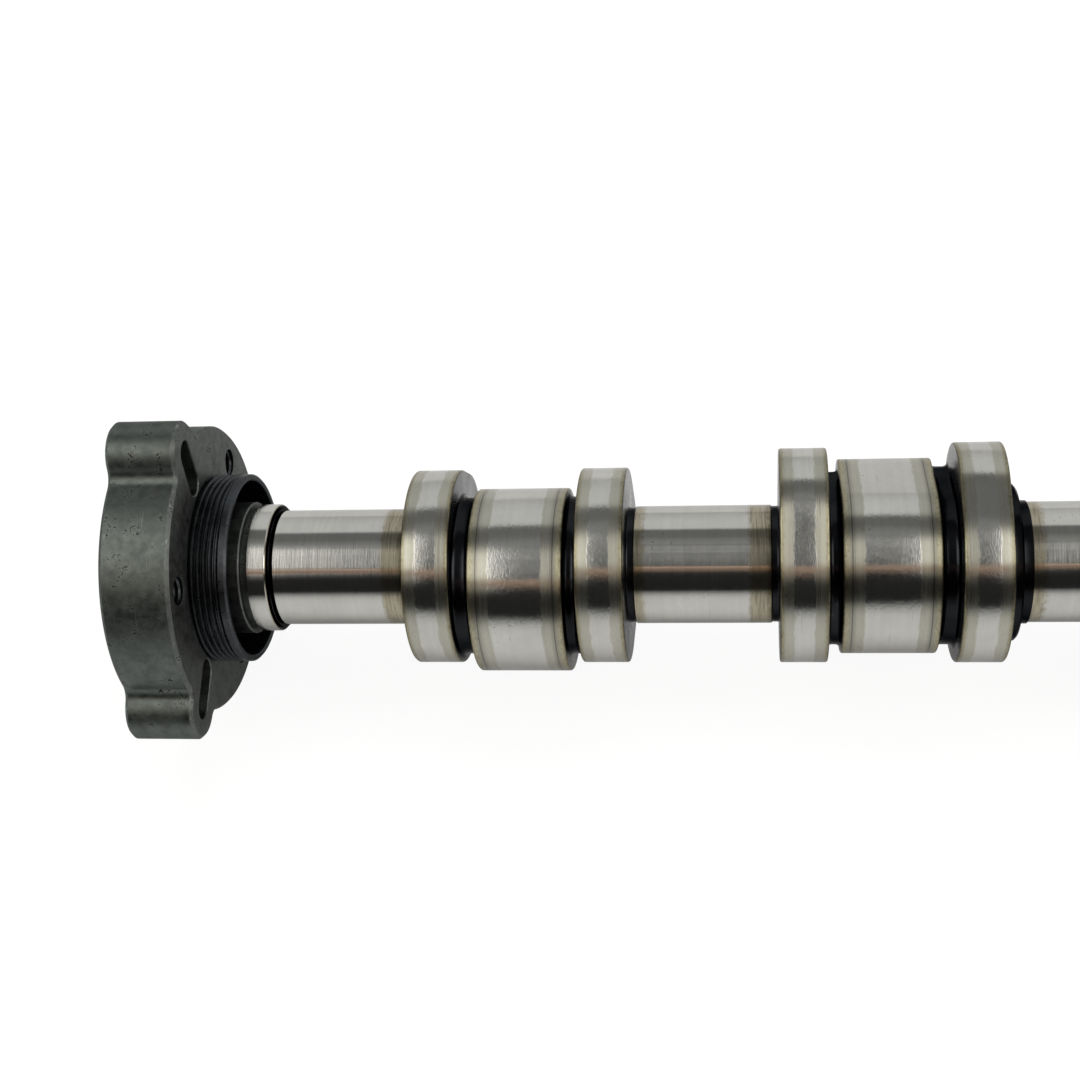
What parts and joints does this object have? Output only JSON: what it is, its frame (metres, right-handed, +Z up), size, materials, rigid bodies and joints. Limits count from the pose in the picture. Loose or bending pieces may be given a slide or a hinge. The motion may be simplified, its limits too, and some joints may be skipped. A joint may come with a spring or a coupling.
{
  "type": "camshaft",
  "caption": "Diesel engine camshaft with valve cams beside wide injector cams, ground bearing journals and a flanged drive hub with slotted ears and a threaded collar.",
  "frame": {"origin": "centre of the front journal, on the shaft's axis", "axes": "+X along the shaft, away from the drive hub; +Z up as the part lies at rest on the hub's rim and one ear; -Y towards the picture's camera"},
  "size_m": [0.4191, 0.0791, 0.0773],
  "materials": {
    "ground_steel": "ground and hardened, with straw heat tint near the edges",
    "blackened_steel": "black oxide, oiled, with bright worn edges",
    "fastener_steel": "phosphated"
  },
  "bodies": {
    "root": {"camshaft": "ground_steel", "drive_hub": "blackened_steel", "hub_key": "fastener_steel", "hub_washer": "fastener_steel", "hub_bolt": "fastener_steel"}
  },
  "joints": []
}
